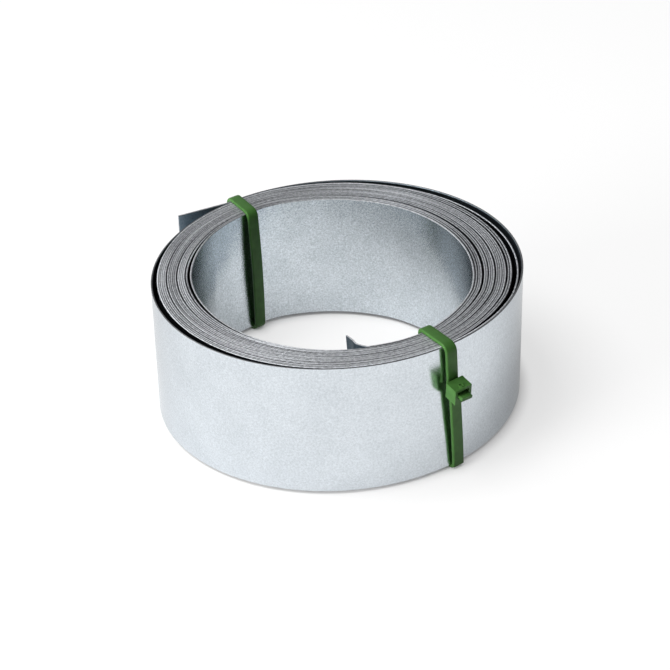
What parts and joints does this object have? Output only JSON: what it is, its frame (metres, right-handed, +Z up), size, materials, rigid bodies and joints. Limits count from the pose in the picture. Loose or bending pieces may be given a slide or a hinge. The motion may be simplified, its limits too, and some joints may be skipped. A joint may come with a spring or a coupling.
{
  "type": "steel strip coil",
  "caption": "Coil of galvanised steel strip lying flat, with an open bore, sprung outer turns and both free ends, bound by cable ties.",
  "frame": {"origin": "on the coil's axis, at the floor the straps stand on", "axes": "+Z up along the coil's axis; the front tie is on the -Y side, towards +X, and the strip's outer end points to -X"},
  "size_m": [0.1068, 0.1068, 0.0422],
  "materials": {
    "galvanised_steel": "satin zinc coating, greyer on the slit edges",
    "green_nylon": "moulded green nylon with a soft sheen"
  },
  "bodies": {
    "root": {"strip_coil": "galvanised_steel", "cable_tie_front": "green_nylon", "cable_tie_back": "green_nylon"}
  },
  "joints": []
}
